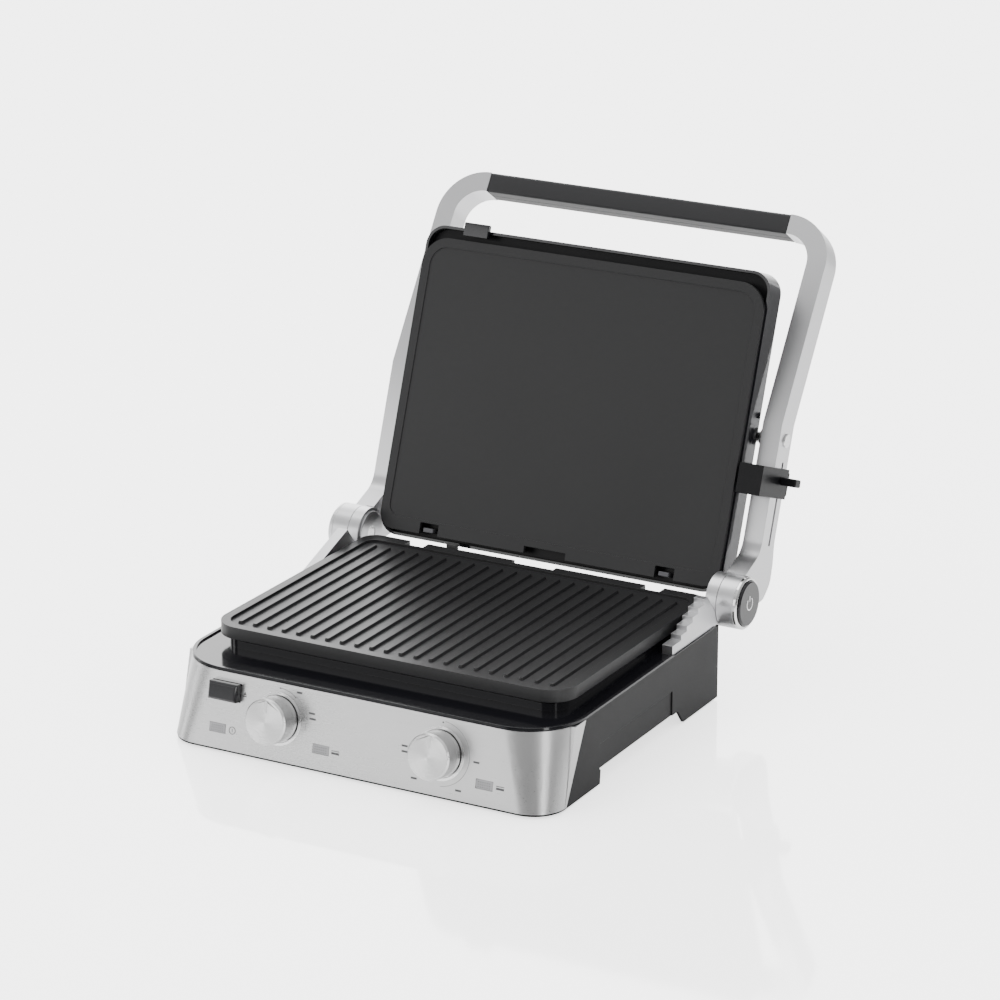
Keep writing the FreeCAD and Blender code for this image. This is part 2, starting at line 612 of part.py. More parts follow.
def base_inside():
    tray = new_body("lower_reflector")
    pad(tray, "XY", well_outline("-0.4"), "50", "platform_top - 2")
    pocket(tray, "XY", well_outline("-1.6"), "51.2", "platform_top")
    for foot in ("-40", "40"):
        rod(tray, "Z", foot, "hinge_y - well_middle - well_depth / 2 + 24", "49", "4",
            "2.4", True)
    heater("lower_element", True, "64.5 - hinge_z", "22", at=("0", "hinge_y", "hinge_z"))
    fuse = new_body("thermal_fuse")
    block(fuse, ("-9", "9"), ("-70", "-58"), ("42", "50"))
    block_piece = new_body("terminal_block")
    block(block_piece, ("80", "120"), ("-10", "12"), ("recess_low + 3", "recess_low + 17"))
    gland = new_body("cord_gland")
    rod(gland, "Y", "115", "base_rear - 8", "46", "14", "9")
    rod(gland, "Y", "115", "base_rear - 10", "46", "20", "4", True)
    boot = new_body("lead_boot")
    block(boot, ("-90", "-80"), ("base_rear", "base_rear + 17"), ("52", "57"))
    block(boot, ("-90", "-80"), ("base_rear + 12", "base_rear + 17"), ("56", "hinge_z + 4.5"))
    hooks = new_body("lower_hooks")
    for side in (-1, 1):
        place = "%d * notch_place" % side
        block(hooks, ("%s - 5" % place, "%s + 5" % place), ("base_rear - 0.5", "base_rear + 3.5"),
              ("deck_lip", "hinge_z + 0.5"))


def tray_and_screws():
    tray = new_body("drip_tray")
    half = "tray_width / 2"
    block(tray, ("-" + half, half), ("base_rear - 90", "tray_reach"), ("18.5", "33"))
    block(tray, ("-%s + 2" % half, "%s - 2" % half), ("base_rear - 88", "tray_reach - 2"),
          ("20.5", "34"), True)
    bottom = new_body("bottom_screws")
    for x, y in BOTTOM_SCREWS:
        rod(bottom, "Z", x, y, "recess_low - 1.2", "1.7", "3.4")
        rod(bottom, "Z", x, y, "recess_low - 1.2", "4.2", "1.4")


def base_screw_holes():
    """The bottom screws pass through the cover."""
    cover = doc.getObject("bottom_cover")
    for x, y in BOTTOM_SCREWS:
        rod(cover, "Z", x, y, "recess_low - 2", "8", "1.4", True)


# ---- lid frame ----

ARM_OUTER = "arm_inner + arm_width"


def arm(label, side):
    body = new_body(label, **LID)
    low, high = sided(side, "arm_inner", ARM_OUTER)
    back = "arm_front + arm_depth"
    heel = [("0", "0", None), ("20", "-9", None), (back + " - 3", "4", "12"),
            (back + " + 5", "18", "14"), (back + " + 4", "34", "10"), (back, "52", "40")]
    bend = "kink_height - upper_depth * sin(kink) + (arm_depth - upper_depth * cos(kink)) / tan(kink)"
    rise = "(upper_length - frame_corner)"
    top = [("arm_front + %s * sin(kink) + upper_depth * cos(kink)" % rise,
            "kink_height + %s * cos(kink) - upper_depth * sin(kink)" % rise, None),
           ("arm_front + %s * sin(kink)" % rise, "kink_height + %s * cos(kink)" % rise, None)]
    neck = [("arm_front", "kink_height", None), ("arm_front", "42", "22"), ("4", "22", None)]
    pad(body, "YZ", heel + [(back, bend, None)] + top + neck, low, high)
    upper_frame(body, side)
    low, high = sided(side, "arm_inner - 5", "base_width / 2 + hub_gap")
    rod(body, "X", low, "0", "0", "base_width / 2 + hub_gap - arm_inner + 5", "barrel_radius + 0.8",
        True)
    low, high = sided(side, "base_width / 2 + hub_gap", "barrel_end")
    rod(body, "X", low, "0", "0", "barrel_end - base_width / 2 - hub_gap", "barrel_radius")
    low, high = sided(side, "0", "barrel_end + 1")
    rod(body, "X", low, "0", "0", "barrel_end + 1", "pin_radius + running_gap", True)
    if side > 0:
        rod(body, "X", "barrel_end - 3.5", "0", "0", "10", "barrel_radius - 2.8", True)
        block(body, (ARM_OUTER + " - 3", ARM_OUTER + " + 1"), ("40.9", "44.1"),
              ("slot_low", "slot_high"), True)
    low, high = sided(side, "arm_inner - 1", ARM_OUTER + " + 1")
    rod(body, "X", low, "tilt_u", "tilt_v", "arm_width + 2", "tilt_radius", True)
    rod(body, "X", low, "43", "156", "arm_width / 2 + 1" if side > 0 else "arm_width + 1", "2", True)
    return body


def upper_frame(body, side):
    """The leaning upper part of an arm, with its rounded corner, up to the grip."""
    corner_inner = "frame_corner - arm_width"
    outer = ARM_OUTER
    sign = "" if side > 0 else "-"
    start = "upper_length - frame_corner - 6"
    corners = [("arm_inner", start, None), (outer, start, None), (outer, "upper_length", "frame_corner"),
               ("grip_half", "upper_length", None), ("grip_half", "upper_length - arm_width", None),
               ("arm_inner", "upper_length - arm_width", corner_inner)]
    corners = [("%s(%s)" % (sign, x), z, radius) for x, z, radius in corners]
    if side < 0:
        corners.reverse()
    before = volume(body)
    sketch = outline(body, "XZ", corners, "0")
    sketch.AttachmentOffset = Placement(Vector(), Rotation(Vector(-1, 0, 0), value("kink")))
    bind(sketch, {"AttachmentOffset.Rotation.Angle": "kink",
                  "AttachmentOffset.Base.z": "-arm_front", "AttachmentOffset.Base.y": "kink_height"})
    doc.recompute()
    feature = body.newObject("PartDesign::Pad", "UpperFrame")
    feature.Profile = sketch
    feature.Reversed = True
    bind(feature, {"Length": "upper_depth"})
    settle(body, feature, False, before)


def grip():
    """The core bar and the two sleeve halves, in the leaning plane of the upper frame."""
    frame = {"at": ("0",
                    "hinge_y + arm_front * cos(lid_lean) + kink_height * sin(lid_lean)",
                    "hinge_z - arm_front * sin(lid_lean) + kink_height * cos(lid_lean)"),
             "turn": "lid_lean + kink", "axis": Vector(-1, 0, 0)}
    low = "upper_length - arm_width"
    core = new_body("grip_core", **frame)
    block(core, ("-grip_half", "grip_half"), ("grip_core", "upper_depth - grip_core"),
          (low + " + grip_core", "upper_length - grip_core"))
    for label, near, far in (("grip_front", "0", "upper_depth / 2"),
                             ("grip_rear", "upper_depth / 2", "upper_depth")):
        sleeve = new_body(label, **frame)
        block(sleeve, ("-grip_half", "grip_half"), (near, far), (low, "upper_length"))
        outside = near if label == "grip_front" else far
        soften(sleeve, "2.4", lambda edge: is_long(edge) and all(
            abs(vertex.Y - value(outside)) < 0.01 for vertex in edge.Vertexes))
        block(sleeve, ("-grip_half - 1", "grip_half + 1"),
              ("grip_core", "upper_depth - grip_core"),
              (low + " + grip_core", "upper_length - grip_core"), True)


def is_long(edge):
    return abs(edge.BoundBox.XLength - value("2 * grip_half")) < 0.5


def frame_fittings():
    ring = new_body("right_cap_ring", **LID)
    rod(ring, "X", "barrel_end", "0", "0", "3.5", "barrel_radius")
    soften(ring, "1.2", lambda edge: round_at(edge, "barrel_radius", "barrel_end + 3.5"),
           "PartDesign::Chamfer")
    rod(ring, "X", "barrel_end - 1", "0", "0", "6", "barrel_radius - 2.8", True)
    cap = new_body("left_cap", **LID)
    rod(cap, "X", "-barrel_end - 3.5", "0", "0", "3.5", "barrel_radius")
    soften(cap, "1.2", lambda edge: round_at(edge, "barrel_radius", "-barrel_end - 3.5"),
           "PartDesign::Chamfer")
    rod(cap, "X", "-barrel_end - 5.7", "0", "0", "2.5", "barrel_radius - 3.4")
    tilts = new_body("tilt_pins", **LID)
    heads = new_body("pivot_screws", **LID)
    stops = new_body("stop_pins", **LID)
    for side in (-1, 1):
        low, _ = sided(side, "housing_half - 13.5", ARM_OUTER)
        rod(tilts, "X", low, "tilt_u", "tilt_v", "arm_inner + arm_width - housing_half + 13.5",
            "tilt_radius")
        low, _ = sided(side, "housing_half + 1", "arm_inner")
        rod(tilts, "X", low, "tilt_u", "tilt_v", "arm_inner - housing_half - 1", "tilt_radius + 3")
        low, _ = sided(side, ARM_OUTER, ARM_OUTER + " + 1.6")
        rod(heads, "X", low, "tilt_u", "tilt_v", "1.6", "tilt_radius + 0.9")
        low, _ = sided(side, "arm_inner - 4", "arm_inner")
        rod(stops, "X", low, "43", "156", "4", "3.2")
    for side in (-1, 1):
        low, _ = sided(side, "arm_inner", "arm_inner + 6")
        rod(stops, "X", low, "43", "156", "6", "2")
    button = new_body("hinge_button", **LID)
    rod(button, "X", "barrel_end + 0.6", "0", "0", "5.1", "barrel_radius - 3.2")
    rod(button, "X", "base_width / 2 + 12.5", "0", "0", "barrel_end - base_width / 2 - 11", "pin_radius - 1")
    soften(button, "1", lambda edge: round_at(edge, "barrel_radius - 3.2", "barrel_end + 5.7"),
           "PartDesign::Chamfer")


def round_at(edge, radius, place):
    curve = edge.Curve
    if not isinstance(curve, Part.Circle) or abs(curve.Radius - value(radius)) > 0.01:
        return False
    return abs(edge.BoundBox.Center.x - value(place)) < 0.01


def slider():
    body = new_body("height_slider", **LID)
    outer = ARM_OUTER + " + 1.9"
    block(body, ("arm_inner - 2.5", outer), ("0", "arm_front + arm_depth + 2"), ("slider_low", "slider_high"))
    block(body, ("arm_inner - slider_gap", ARM_OUTER + " + slider_gap"),
          ("arm_front - slider_gap", "arm_front + arm_depth + 5"), ("slider_low - 1",
           "slider_high + 1"), True)
    stud = "slider_high - 14"
    rod(body, "X", ARM_OUTER + " - 1.5", "42.5", stud, "3.2", "1.3")
    lever = new_body("slider_lever", **LID)
    block(lever, (outer, outer + " + 14.5"), ("38", "50"), ("slider_low + 11.5", "slider_low + 18.5"))
    clip = new_body("slider_clip", **LID)
    block(clip, ("arm_inner - 2.5", outer),
          ("arm_front + arm_depth + 2", "arm_front + arm_depth + 4"), ("slider_low + 3", "slider_high - 3"))


# ---- lid housing ----

def housing_outline(inset, grow=None):
    taper = "0" if grow is None else grow
    half = "housing_half - (%s) - (%s)" % (inset, taper)
    return box_outline("-(%s)" % half, half, "housing_low + (%s) + (%s)" % (inset, taper),
                       "housing_high - (%s) - (%s)" % (inset, taper),
                       "housing_corner - (%s)" % inset, "housing_corner - (%s)" % inset)


def lid_shell():
    body = new_body("lid_shell", **LID)
    pad(body, "XZ", housing_outline("0"), "housing_front", "housing_waist")
    loft(body, "XZ", housing_outline("0"), "housing_waist", housing_outline("0", "housing_taper"),
         "housing_back")
    pocket(body, "XZ", housing_outline("wall"), "housing_front - 1", "housing_waist")
    loft(body, "XZ", housing_outline("wall"), "housing_waist",
         housing_outline("wall", "housing_taper * 0.7"), "housing_back - wall", True)
    for side in (-1, 1):
        low, _ = sided(side, "housing_half - 14.5", "housing_half + 5.5")
        rod(body, "X", low, "tilt_u", "tilt_v", "20", "tilt_radius + running_gap", True)
    cover = new_body("lid_cover", **LID)
    pad(cover, "XZ", housing_outline("6", "housing_taper"), "housing_back", "housing_back + cover_sheet")
    return body


def lid_inside():
    bezel = new_body("lid_bezel", **LID)
    pad(bezel, "XZ", housing_outline("wall + 0.3"), "housing_front + 7.5", "housing_front + 9.5")
    middle = "well_middle"
    window = box_outline("-well_width / 2", "well_width / 2", "%s - well_depth / 2" % middle,
                         "%s + well_depth / 2" % middle, "12", "12")
    pocket(bezel, "XZ", window, "housing_front", "housing_front + 12")
    shield = new_body("lid_reflector", **LID)
    pad(shield, "XZ", box_outline("-well_width / 2 - 3", "well_width / 2 + 3",
                                  "%s - well_depth / 2 - 3" % middle,
                                  "%s + well_depth / 2 + 3" % middle, "12", "12"),
        "29", "30")
    for foot in ("-40", "40"):
        rod(shield, "Y", foot, "28", "%s - well_depth / 2 + 24" % middle, "4", "2.4", True)
    heater("lid_element", False, "23.5", "11", **LID)
    fuse = new_body("lid_thermal_fuse", **LID)
    block(fuse, ("-9", "9"), ("30", "37"), (middle + " + 20", middle + " + 32"))
    hooks = new_body("lid_hooks", **LID)
    for side in (-1, 1):
        place = "%d * notch_place" % side
        block(hooks, ("%s - 5" % place, "%s + 5" % place), ("upper_face - 1", "housing_front + 7.5"),
              ("plate_start + 2", "plate_start + 6"))
    screws = new_body("lid_screws", **LID)
    for x in ("-120", "120"):
        for v in ("40", "236"):
            rod(screws, "Y", x, "housing_back + cover_sheet", v, "1.2", "3.6")


def release_tab():
    body = new_body("lid_release", **LID)
    block(body, ("-128", "-104"), ("upper_face - 1", "housing_front - 0.4"),
          ("plate_start + plate_depth + 4.3", "housing_high + 5.2"))
    soften(body, "1", lambda edge: all(vertex.Z > value("housing_high + 5.19") for vertex in edge.Vertexes))


# ---- plates ----

def plate(label, edge, up, **frame):
    """A cast plate: its face is at local Y = 0, its free end up local Z.  The back is at +Y, or
    at -Y on the plate that faces up."""
    body = new_body(label, **frame)

    def levels(low, high):
        return ("-(%s)" % high, "-(%s)" % low) if up else (low, high)

    outside = box_outline("-plate_width / 2", "plate_width / 2", "plate_start",
                          "plate_start + plate_depth", "plate_hinge_corner", "plate_corner")
    pad(body, "XZ", outside, *levels("0", edge))
    inner = box_outline("-plate_width / 2 + plate_rim", "plate_width / 2 - plate_rim",
                        "plate_start + notch_depth + 3", "plate_start + plate_depth - plate_rim",
                        "plate_hinge_corner - 6", "plate_corner - plate_rim")
    if not up:
        pad(body, "XZ", inner, *levels(edge + " - 1", "plate_body"))
    face = box_outline("-plate_width / 2 + plate_rim", "plate_width / 2 - plate_rim",
                       "plate_start + plate_rim + 4", "plate_start + plate_depth - plate_rim",
                       "plate_hinge_corner - 4", "plate_corner - plate_rim")
    pocket(body, "XZ", face, *levels("-1", "plate_floor" if up else "upper_floor"))
    for side in (-1, 1):
        place = "%d * notch_place" % side
        block(body, ("%s - notch_width / 2" % place, "%s + notch_width / 2" % place),
              ("-plate_body - 1", "plate_body + 1"), ("plate_start - 1", "plate_start + notch_depth"),
              True)
    block(body, ("-spout_width / 2", "spout_width / 2"), ("-plate_body - 1", "plate_body + 1"),
          ("plate_start - 1", "plate_start + spout_depth"), True)
    return body


def lower_plate():
    body = plate("lower_plate", "plate_edge", True,
                 at=("0", "hinge_y", "hinge_z + lower_face"), turn="90 - plate_slope")
    first = "-(rib_count - 1) / 2 * rib_pitch"
    rib = box_outline(first + " - rib_width / 2", first + " + rib_width / 2",
                      "plate_start + rib_rear", "plate_start + plate_depth - rib_front",
                      "rib_width / 2 - 0.1", "rib_width / 2 - 0.1")
    before = volume(body)
    sketch = outline(body, "XZ", rib, "-plate_floor")
    doc.recompute()
    feature = body.newObject("PartDesign::Pad", "Rib")
    feature.Profile = sketch
    feature.Reversed = True
    bind(feature, {"Length": "rib_height", "TaperAngle": "-rib_draft"})
    settle(body, feature, False, before)
    row = body.newObject("PartDesign::LinearPattern", "RibRow")
    row.Originals = [feature]
    row.Direction = (sketch, ["H_Axis"])
    bind(row, {"Length": "(rib_count - 1) * rib_pitch", "Occurrences": "rib_count"})
    body.Tip = row
    doc.recompute()
    return body


base_shell()
bottom_cover()
feet()
deck_tray()
front_panel()
dial_rings()
lamps()
dials()
plate_button()
side_brackets()
base_inside()
tray_and_screws()
base_screw_holes()
arm("right_arm", 1)
arm("left_arm", -1)
grip()
frame_fittings()
slider()
lid_shell()
lid_inside()
release_tab()
plate("upper_plate", "upper_edge", False,
      at=("0", "hinge_y + upper_face * cos(lid_lean)", "hinge_z - upper_face * sin(lid_lean)"),
      turn="lid_lean", axis=Vector(-1, 0, 0))
lower_plate()
doc.recompute()

for thing in doc.Objects:
    if "Invalid" in thing.State or "Error" in thing.State:
        raise ValueError(thing.Label + " failed: " + " ".join(thing.State))
for piece in pieces:
    if piece.Shape.isNull() or not piece.Shape.isValid():
        raise ValueError(piece.Label + " has no valid shape")

os.makedirs("parts", exist_ok=True)
for piece in pieces:
    piece.Shape.exportStep(os.path.join("parts", piece.Label + ".step"))
    print("%-22s %2d solids %10.0f mm3" % (piece.Label, len(piece.Shape.Solids), piece.Shape.Volume))
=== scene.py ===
import json
import math

import bmesh
import bpy
from mathutils import Matrix, Vector


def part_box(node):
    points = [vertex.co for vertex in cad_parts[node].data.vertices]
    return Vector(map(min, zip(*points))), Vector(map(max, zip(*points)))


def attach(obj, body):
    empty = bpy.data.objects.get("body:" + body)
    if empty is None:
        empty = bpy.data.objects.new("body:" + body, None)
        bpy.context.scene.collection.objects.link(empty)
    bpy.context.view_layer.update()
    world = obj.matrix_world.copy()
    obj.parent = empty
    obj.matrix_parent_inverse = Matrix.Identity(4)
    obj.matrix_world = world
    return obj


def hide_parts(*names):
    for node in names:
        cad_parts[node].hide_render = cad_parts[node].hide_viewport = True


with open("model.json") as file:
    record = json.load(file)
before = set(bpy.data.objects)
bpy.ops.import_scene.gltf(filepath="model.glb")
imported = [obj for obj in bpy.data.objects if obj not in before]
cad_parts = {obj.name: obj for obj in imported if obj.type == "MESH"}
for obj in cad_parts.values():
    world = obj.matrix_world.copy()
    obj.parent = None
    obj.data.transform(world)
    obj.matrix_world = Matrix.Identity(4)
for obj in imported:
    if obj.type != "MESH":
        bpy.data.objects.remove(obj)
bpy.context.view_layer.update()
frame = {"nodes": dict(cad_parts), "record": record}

# ---- camera, floor and light ----

CAMERA_PLACE = Vector((1.5710, -2.8597, 1.2913))
CAMERA_TURN = math.radians(28.83)
CAMERA_DROP = math.radians(19.10)
CAMERA_LENS = 149.06
ROOM_LIGHT = 2.6
MIRROR_LOW = 0.08
MIRROR_HIGH = 1.0
BACK_WALL = 4.0
BACK_WALL_SIDE = (-0.455, 0.828, 0.327)
FLOOR_GLOW = 1.8
FLOOR_COLOR = (0.90, 0.90, 0.90)
FLOOR_ROUGHNESS = 0.06
FLOOR_MIRROR = 2.1
FLOOR_REACH = 12
LIGHT_AIM = (0, 0, 0.15)


def set_camera():
    camera = bpy.data.objects.new("camera", bpy.data.cameras.new("camera"))
    bpy.context.scene.collection.objects.link(camera)
    right = Vector((math.cos(CAMERA_TURN), math.sin(CAMERA_TURN), 0))
    ahead = Vector((-math.sin(CAMERA_TURN) * math.cos(CAMERA_DROP),
                    math.cos(CAMERA_TURN) * math.cos(CAMERA_DROP), -math.sin(CAMERA_DROP)))
    turn = Matrix((right, right.cross(ahead), -ahead)).transposed().to_4x4()
    camera.matrix_world = Matrix.Translation(CAMERA_PLACE) @ turn
    camera.data.lens = CAMERA_LENS
    camera.data.sensor_width = 36
    camera.data.clip_end = 50
    bpy.context.scene.camera = camera


def softbox(name, place, aim, size, power):
    lamp = bpy.data.lights.new(name, "AREA")
    lamp.shape = "RECTANGLE"
    lamp.size, lamp.size_y = size
    lamp.energy = power
    holder = bpy.data.objects.new(name, lamp)
    bpy.context.scene.collection.objects.link(holder)
    holder.visible_camera = False
    holder.location = place
    holder.rotation_euler = (Vector(aim) - Vector(place)).to_track_quat("-Z", "Y").to_euler()


def light_studio():
    """A bright room for the floor, a dim one with a bright ceiling for what the gloss mirrors."""
    world = bpy.data.worlds.new("studio")
    bpy.context.scene.world = world
    world.use_nodes = True
    tree = world.node_tree
    backdrop = tree.nodes["Background"]
    rays = tree.nodes.new("ShaderNodeLightPath")
    place = tree.nodes.new("ShaderNodeTexCoord")
    split = tree.nodes.new("ShaderNodeSeparateXYZ")
    tree.links.new(place.outputs["Generated"], split.inputs[0])
    ceiling = tree.nodes.new("ShaderNodeMapRange")
    ceiling.inputs["From Min"].default_value = 0.05
    ceiling.inputs["From Max"].default_value = 0.9
    ceiling.inputs["To Min"].default_value = MIRROR_LOW
    ceiling.inputs["To Max"].default_value = MIRROR_HIGH
    tree.links.new(split.outputs["Z"], ceiling.inputs["Value"])
    toward = tree.nodes.new("ShaderNodeVectorMath")
    toward.operation = "DOT_PRODUCT"
    tree.links.new(place.outputs["Generated"], toward.inputs[0])
    toward.inputs[1].default_value = BACK_WALL_SIDE
    wall = tree.nodes.new("ShaderNodeMapRange")
    wall.inputs["From Min"].default_value = 0.75
    wall.inputs["From Max"].default_value = 0.97
    wall.inputs["To Max"].default_value = BACK_WALL
    tree.links.new(toward.outputs["Value"], wall.inputs["Value"])
    mirrored = tree.nodes.new("ShaderNodeMath")
    tree.links.new(ceiling.outputs["Result"], mirrored.inputs[0])
    tree.links.new(wall.outputs["Result"], mirrored.inputs[1])
    choice = tree.nodes.new("ShaderNodeMix")
    tree.links.new(rays.outputs["Is Glossy Ray"], choice.inputs["Factor"])
    choice.inputs["A"].default_value = ROOM_LIGHT
    tree.links.new(mirrored.outputs["Value"], choice.inputs["B"])
    tree.links.new(choice.outputs["Result"], backdrop.inputs["Strength"])
    backdrop.inputs["Color"].default_value = (1, 1, 1, 1)
    softbox("front_left", (-1.7, -2.7, 0.85), LIGHT_AIM, (2.2, 1.5), 22)
    softbox("left_strip", (-2.2, -0.5, 0.8), LIGHT_AIM, (0.5, 1.4), 9)
    softbox("right_front", (2.0, -1.5, 0.5), LIGHT_AIM, (0.35, 1.0), 5)
    softbox("overhead", (-0.6, 0.3, 2.0), LIGHT_AIM, (1.6, 1.0), 14)


def lay_floor():
    mesh = bpy.data.meshes.new("studio_floor")
    reach = FLOOR_REACH
    corners = [(-reach, -reach, 0), (reach, -reach, 0), (reach, reach, 0), (-reach, reach, 0)]
    mesh.from_pydata(corners, [], [(0, 1, 2, 3)])
    floor = bpy.data.objects.new("studio_floor", mesh)
    bpy.context.scene.collection.objects.link(floor)
    material, shader, tree = new_material("pale_floor", FLOOR_COLOR, FLOOR_ROUGHNESS)
    shader.inputs["IOR"].default_value = FLOOR_MIRROR
    rays = tree.nodes.new("ShaderNodeLightPath")
    glow = tree.nodes.new("ShaderNodeMath")
    glow.operation = "MULTIPLY"
    glow.inputs[1].default_value = FLOOR_GLOW
    tree.links.new(rays.outputs["Is Camera Ray"], glow.inputs[0])
    tree.links.new(glow.outputs["Value"], shader.inputs["Emission Strength"])
    shader.inputs["Emission Color"].default_value = (1, 1, 1, 1)
    mesh.materials.append(material)


# ---- finishes ----

def surface_group():
    """Shared texture: cloudy variation, stretched grain and a fine pimple, all over Object space."""
    group = bpy.data.node_groups.new("surface_texture", "ShaderNodeTree")
    make = group.interface.new_socket
    make(name="Stretch", in_out="INPUT", socket_type="NodeSocketVector")
    make(name="Cloud Scale", in_out="INPUT", socket_type="NodeSocketFloat")
    make(name="Grain Scale", in_out="INPUT", socket_type="NodeSocketFloat")
    make(name="Cloud", in_out="OUTPUT", socket_type="NodeSocketFloat")
    make(name="Grain", in_out="OUTPUT", socket_type="NodeSocketFloat")
    nodes, links = group.nodes, group.links
    given = nodes.new("NodeGroupInput")
    result = nodes.new("NodeGroupOutput")
    place = nodes.new("ShaderNodeTexCoord")
    stretch = nodes.new("ShaderNodeVectorMath")
    stretch.operation = "MULTIPLY"
    links.new(place.outputs["Object"], stretch.inputs[0])
    links.new(given.outputs["Stretch"], stretch.inputs[1])
    for source, scale, target, detail in ((place.outputs["Object"], "Cloud Scale", "Cloud", 4),
                                          (stretch.outputs[0], "Grain Scale", "Grain", 6)):
        noise = nodes.new("ShaderNodeTexNoise")
        noise.inputs["Detail"].default_value = detail
        links.new(source, noise.inputs["Vector"])
        links.new(given.outputs[scale], noise.inputs["Scale"])
        links.new(noise.outputs["Fac"], result.inputs[target])
    return group


def new_material(name, color, roughness, metallic=0.0):
    material = bpy.data.materials.new(name)
    material.use_nodes = True
    shader = material.node_tree.nodes["Principled BSDF"]
    shader.inputs["Base Color"].default_value = (*color, 1)
    shader.inputs["Roughness"].default_value = roughness
    shader.inputs["Metallic"].default_value = metallic
    return material, shader, material.node_tree


def textured(name, color, roughness, metallic=0.0, stretch=(1, 1, 1), cloud=14, grain=300,
             tone=0.08, rough_swing=0.06, bump=0.1, depth=0.0002, coat=0.0, gloss=0.5):
    """A finish whose colour, roughness and relief all follow the shared surface texture."""
    material, shader, tree = new_material(name, color, roughness, metallic)
    texture = tree.nodes.new("ShaderNodeGroup")
    texture.node_tree = SURFACE
    texture.inputs["Stretch"].default_value = stretch
    texture.inputs["Cloud Scale"].default_value = cloud
    texture.inputs["Grain Scale"].default_value = grain
    both = tree.nodes.new("ShaderNodeMath")
    both.operation = "MULTIPLY_ADD"
    both.inputs[1].default_value = 0.5
    tree.links.new(texture.outputs["Grain"], both.inputs[0])
    half = tree.nodes.new("ShaderNodeMath")
    half.operation = "MULTIPLY"
    half.inputs[1].default_value = 0.5
    tree.links.new(texture.outputs["Cloud"], half.inputs[0])
    tree.links.new(half.outputs[0], both.inputs[2])
    tint = tree.nodes.new("ShaderNodeMix")
    tint.data_type = "RGBA"
    tint.inputs["A"].default_value = (*[c * (1 - tone) for c in color], 1)
    tint.inputs["B"].default_value = (*[min(1, c * (1 + tone)) for c in color], 1)
    tree.links.new(both.outputs[0], tint.inputs["Factor"])
    tree.links.new(tint.outputs["Result"], shader.inputs["Base Color"])
    rough = tree.nodes.new("ShaderNodeMapRange")
    rough.inputs["From Min"].default_value = 0.3
    rough.inputs["From Max"].default_value = 0.7
    rough.inputs["To Min"].default_value = max(0.02, roughness - rough_swing)
    rough.inputs["To Max"].default_value = roughness + rough_swing
    tree.links.new(both.outputs[0], rough.inputs["Value"])
    tree.links.new(rough.outputs["Result"], shader.inputs["Roughness"])
    relief = tree.nodes.new("ShaderNodeBump")
    relief.inputs["Strength"].default_value = bump
    relief.inputs["Distance"].default_value = depth
    tree.links.new(texture.outputs["Grain"], relief.inputs["Height"])
    tree.links.new(relief.outputs["Normal"], shader.inputs["Normal"])
    shader.inputs["Coat Weight"].default_value = coat
    shader.inputs["Coat Roughness"].default_value = 0.04
    shader.inputs["Specular IOR Level"].default_value = gloss
    return material


def turned_face_with_painted_sheen(name, color, centre, axis_tilt):
    """Metal turned on a lathe: rings round the dial's own axis, by distance from its centre, in the
    relief; and a painted sheen in the colour, lighter and darker in two opposite pairs of sectors round
    the centre.
    """
    material, shader, tree = new_material(name, color, 0.27, 1.0)
    place = tree.nodes.new("ShaderNodeTexCoord")
    mapping = tree.nodes.new("ShaderNodeMapping")
    mapping.vector_type = "TEXTURE"
    mapping.inputs["Location"].default_value = centre
    mapping.inputs["Rotation"].default_value = (axis_tilt, 0, 0)
    tree.links.new(place.outputs["Object"], mapping.inputs["Vector"])
    split = tree.nodes.new("ShaderNodeSeparateXYZ")
    tree.links.new(mapping.outputs[0], split.inputs[0])
    flat = tree.nodes.new("ShaderNodeCombineXYZ")
    tree.links.new(split.outputs["X"], flat.inputs["X"])
    tree.links.new(split.outputs["Y"], flat.inputs["Y"])
    reach = tree.nodes.new("ShaderNodeVectorMath")
    reach.operation = "LENGTH"
    tree.links.new(flat.outputs[0], reach.inputs[0])
    rings = tree.nodes.new("ShaderNodeTexNoise")
    rings.noise_dimensions = "1D"
    rings.inputs["Scale"].default_value = 2600
    rings.inputs["Detail"].default_value = 3
    tree.links.new(reach.outputs["Value"], rings.inputs["W"])
    # Painted highlight: the base colour is multiplied by a sine of twice the angle round the dial
    # centre, so two opposite sectors are lighter and two darker, standing in for the light on the spun
    # face.
    swing = tree.nodes.new("ShaderNodeMath")
    swing.operation = "ARCTAN2"
    tree.links.new(split.outputs["Y"], swing.inputs[0])
    tree.links.new(split.outputs["X"], swing.inputs[1])
    fan = tree.nodes.new("ShaderNodeMath")
    fan.operation = "MULTIPLY"
    fan.inputs[1].default_value = 2
    tree.links.new(swing.outputs[0], fan.inputs[0])
    painted_sheen = tree.nodes.new("ShaderNodeMath")
    painted_sheen.operation = "SINE"
    tree.links.new(fan.outputs[0], painted_sheen.inputs[0])
    # Painted sheen: this range turns the sine into a colour multiplier between 0.72 and 1.0.
    tone = tree.nodes.new("ShaderNodeMapRange")
    tone.inputs["From Min"].default_value = -1
    tone.inputs["To Min"].default_value = 0.72
    tone.inputs["To Max"].default_value = 1.0
    tree.links.new(painted_sheen.outputs[0], tone.inputs["Value"])
    tint = tree.nodes.new("ShaderNodeMix")
    tint.data_type = "RGBA"
    tint.blend_type = "MULTIPLY"
    tint.inputs["Factor"].default_value = 1
    tint.inputs["A"].default_value = (*color, 1)
    tree.links.new(tone.outputs["Result"], tint.inputs["B"])
    tree.links.new(tint.outputs["Result"], shader.inputs["Base Color"])
    relief = tree.nodes.new("ShaderNodeBump")
    relief.inputs["Strength"].default_value = 0.16
    relief.inputs["Distance"].default_value = 0.0002
    tree.links.new(rings.outputs["Fac"], relief.inputs["Height"])
    tree.links.new(relief.outputs["Normal"], shader.inputs["Normal"])
    return material


